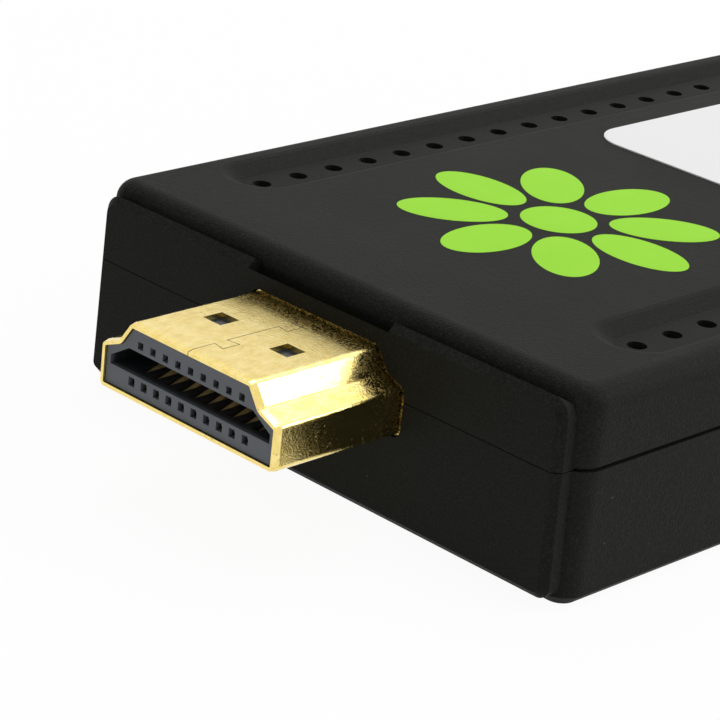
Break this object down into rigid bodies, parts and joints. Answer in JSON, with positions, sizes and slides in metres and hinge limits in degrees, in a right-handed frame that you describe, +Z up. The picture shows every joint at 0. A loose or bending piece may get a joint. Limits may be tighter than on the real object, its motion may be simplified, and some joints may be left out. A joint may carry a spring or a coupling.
{
  "type": "stick computer",
  "caption": "Stick computer: flat two-part moulded case with vent channels, a display plug at one end, sockets, card slot and reset button round its edges, and a populated board inside.",
  "frame": {"origin": "middle of the whole part's underside, halfway between the plug's tip and the rear wall", "axes": "+Z up through the roof, -Y the way the plug points, +X to the right seen from the rear"},
  "size_m": [0.0378, 0.0982, 0.0125],
  "materials": {
    "case_plastic": "matte moulded, fine grain",
    "plated_shell": "gold plated, lightly drawn",
    "insulator_plastic": "satin moulded",
    "gold_contact": "gold plated strip",
    "board_laminate": "solder mask over glass laminate",
    "chip_epoxy": "moulded epoxy",
    "silicone_pad": "soft silicone",
    "sink_aluminium": "extruded",
    "ferrite": "sintered ferrite",
    "tantalum_case": "moulded epoxy",
    "ceramic_body": "fired ceramic with tinned ends",
    "bright_sheet": "tinned sheet",
    "screw_steel": "black zinc",
    "socket_plastic": "moulded nylon",
    "button_plastic": "moulded nylon",
    "clear_plastic": "clear polycarbonate",
    "label_film": "white film",
    "print_ink": "pad-printed ink"
  },
  "bodies": {
    "stick": {"antenna": "bright_sheet", "board_screws": "screw_steel", "card_socket_base": "socket_plastic", "card_socket_contacts": "gold_contact", "card_socket_cover": "bright_sheet", "ceramic_capacitors": "ceramic_body", "crystals": "bright_sheet", "flash_chip": "chip_epoxy", "heat_sink": "sink_aluminium", "light_pipe": "clear_plastic", "lower_shell": "case_plastic", "main_board": "board_laminate", "memory_chips": "chip_epoxy", "otg_port_contacts": "gold_contact", "otg_port_shell": "bright_sheet", "otg_port_tongue": "socket_plastic", "plug_contacts_lower": "gold_contact", "plug_contacts_upper": "gold_contact", "plug_insulator": "insulator_plastic", "plug_shell": "plated_shell", "power_chip": "chip_epoxy", "power_inductors": "ferrite", "power_port_contacts": "gold_contact", "power_port_shell": "bright_sheet", "power_port_tongue": "socket_plastic", "processor": "chip_epoxy", "reset_switch_base": "socket_plastic", "reset_switch_cover": "bright_sheet", "status_led": "clear_plastic", "tantalum_capacitors": "tantalum_case", "thermal_pad": "silicone_pad", "upper_shell": "case_plastic", "usb_host_contacts": "gold_contact", "usb_host_shell": "bright_sheet", "usb_host_tongue": "socket_plastic", "wireless_module": "bright_sheet"},
    "reset_button": {"reset_button": "button_plastic"},
    "card_slider": {"card_slider": "socket_plastic"}
  },
  "joints": [
    {"name": "reset_press", "type": "slide", "parent": "stick", "child": "reset_button", "axis": [1, 0, 0], "range_m": [0, 0.00025], "stiffness_N_per_m": 4800},
    {"name": "card_push", "type": "slide", "parent": "stick", "child": "card_slider", "axis": [1, 0, 0], "range_m": [0, 0.0034], "stiffness_N_per_m": 300}
  ]
}
